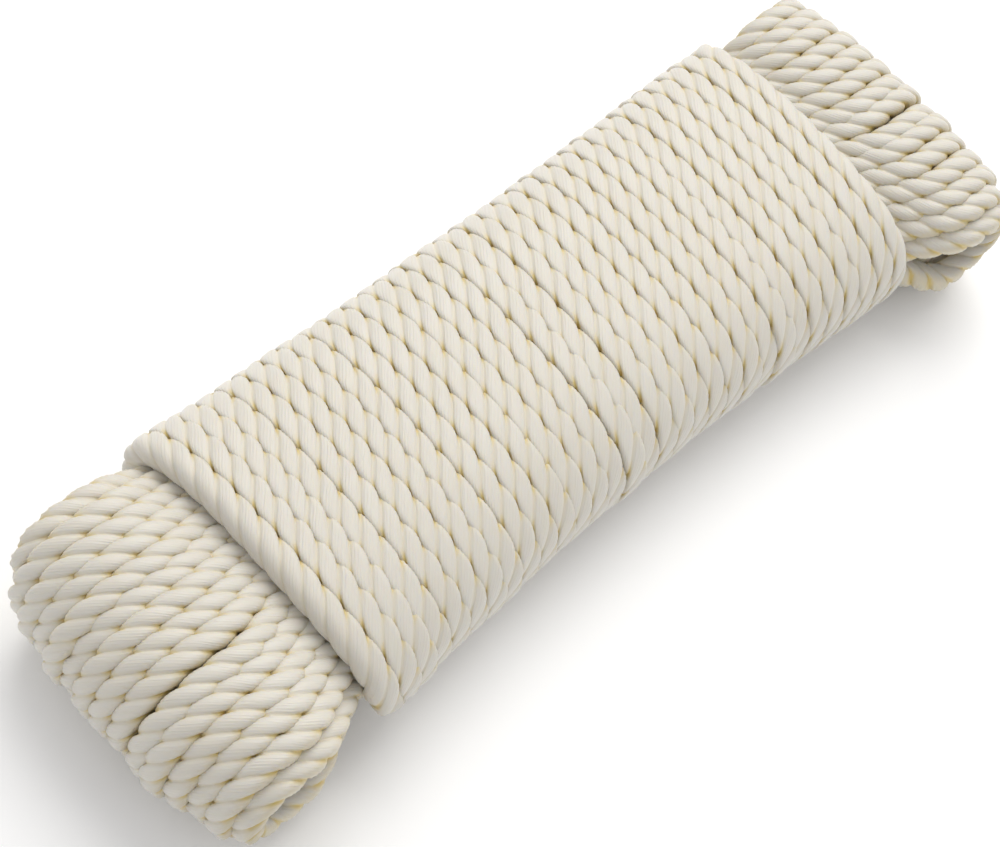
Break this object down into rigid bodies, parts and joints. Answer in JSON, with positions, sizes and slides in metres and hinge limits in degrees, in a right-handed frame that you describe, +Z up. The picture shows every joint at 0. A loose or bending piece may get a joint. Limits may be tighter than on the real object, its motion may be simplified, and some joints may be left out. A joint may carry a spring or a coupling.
{
  "type": "coiled dock line",
  "caption": "Machine-wound hank of white three-strand laid rope: flat lengthwise turns bound round the middle by close cross wraps, both ends tucked in.",
  "frame": {"origin": "centre of the hank's bounding box, on the surface that it lies on", "axes": "+X along the hank, from its longer bare end to its shorter one; +Y across the hank; +Z up"},
  "size_m": [0.4226, 0.138, 0.061],
  "materials": {
    "nylon_rope": "ivory-white filament nylon, laid in three right-handed strands, with a soft sheen along the yarns",
    "melted_nylon": "melted and pressed nylon, amber and slightly glossy"
  },
  "bodies": {
    "root": {"inner_turns": "nylon_rope", "outer_turns": "nylon_rope", "cross_wraps": "nylon_rope", "tucked_end": "nylon_rope", "sealed_tip": "melted_nylon"}
  },
  "joints": []
}
